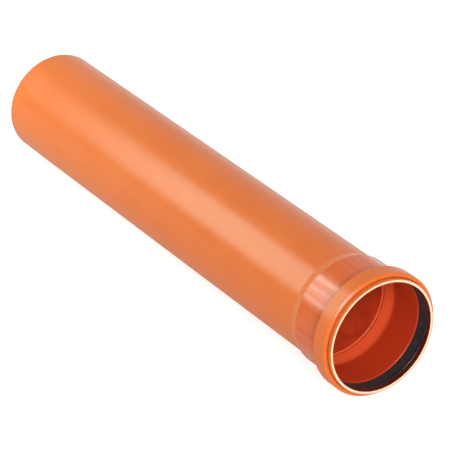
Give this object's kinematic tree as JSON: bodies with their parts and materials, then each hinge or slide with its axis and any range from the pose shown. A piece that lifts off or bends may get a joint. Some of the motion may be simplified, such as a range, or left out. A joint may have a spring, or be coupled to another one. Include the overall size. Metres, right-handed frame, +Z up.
{
  "type": "sewer pipe",
  "caption": "Straight plastic drain and sewer pipe with a formed push-fit socket and a rubber sealing ring in its groove.",
  "frame": {"origin": "on the floor that the pipe lies on, under the middle of its bounding box", "axes": "+Z up; +X along the floor under the pipe's axis, towards the socket's mouth; the axis itself points 0.8 degrees above +X, because the pipe rests on the bead and the spigot"},
  "size_m": [0.5985, 0.126, 0.1262],
  "materials": {
    "orange_plastic": "semi-gloss extruded orange-brown PVC with fine lengthwise draw lines, paler foamed core showing on the cut end face",
    "black_rubber": "moulded black rubber, slightly shiny"
  },
  "bodies": {
    "root": {"pipe": "orange_plastic", "sealing_ring": "black_rubber"}
  },
  "joints": []
}
